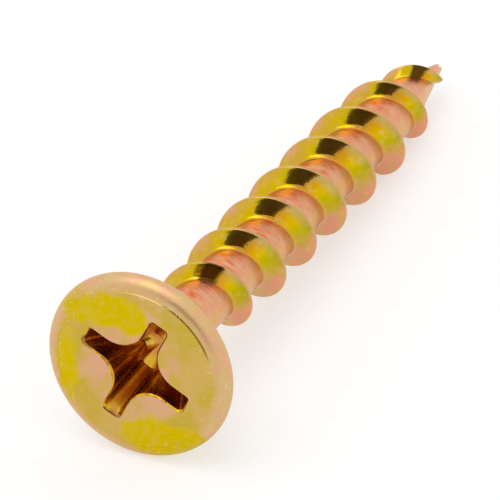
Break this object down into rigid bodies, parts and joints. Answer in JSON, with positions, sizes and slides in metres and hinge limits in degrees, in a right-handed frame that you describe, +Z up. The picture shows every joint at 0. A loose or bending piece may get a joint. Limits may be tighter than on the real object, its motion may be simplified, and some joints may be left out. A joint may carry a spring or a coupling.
{
  "type": "wood screw",
  "caption": "Countersunk wood screw with a cross recess, coarse right-hand thread and gimlet point, yellow zinc plated.",
  "frame": {"origin": "centre of the head's flat face, where the drive recess opens", "axes": "Y is the screw's axis: the head's flat face looks along -Y and the point is at +Y; Z is up as the screw lies on its side"},
  "size_m": [0.0082, 0.0287, 0.0082],
  "materials": {
    "yellow_zinc_steel": "bright yellow chromate over zinc plating, iridescent"
  },
  "bodies": {
    "root": {"head": "yellow_zinc_steel", "shank": "yellow_zinc_steel", "point": "yellow_zinc_steel", "thread": "yellow_zinc_steel"}
  },
  "joints": []
}
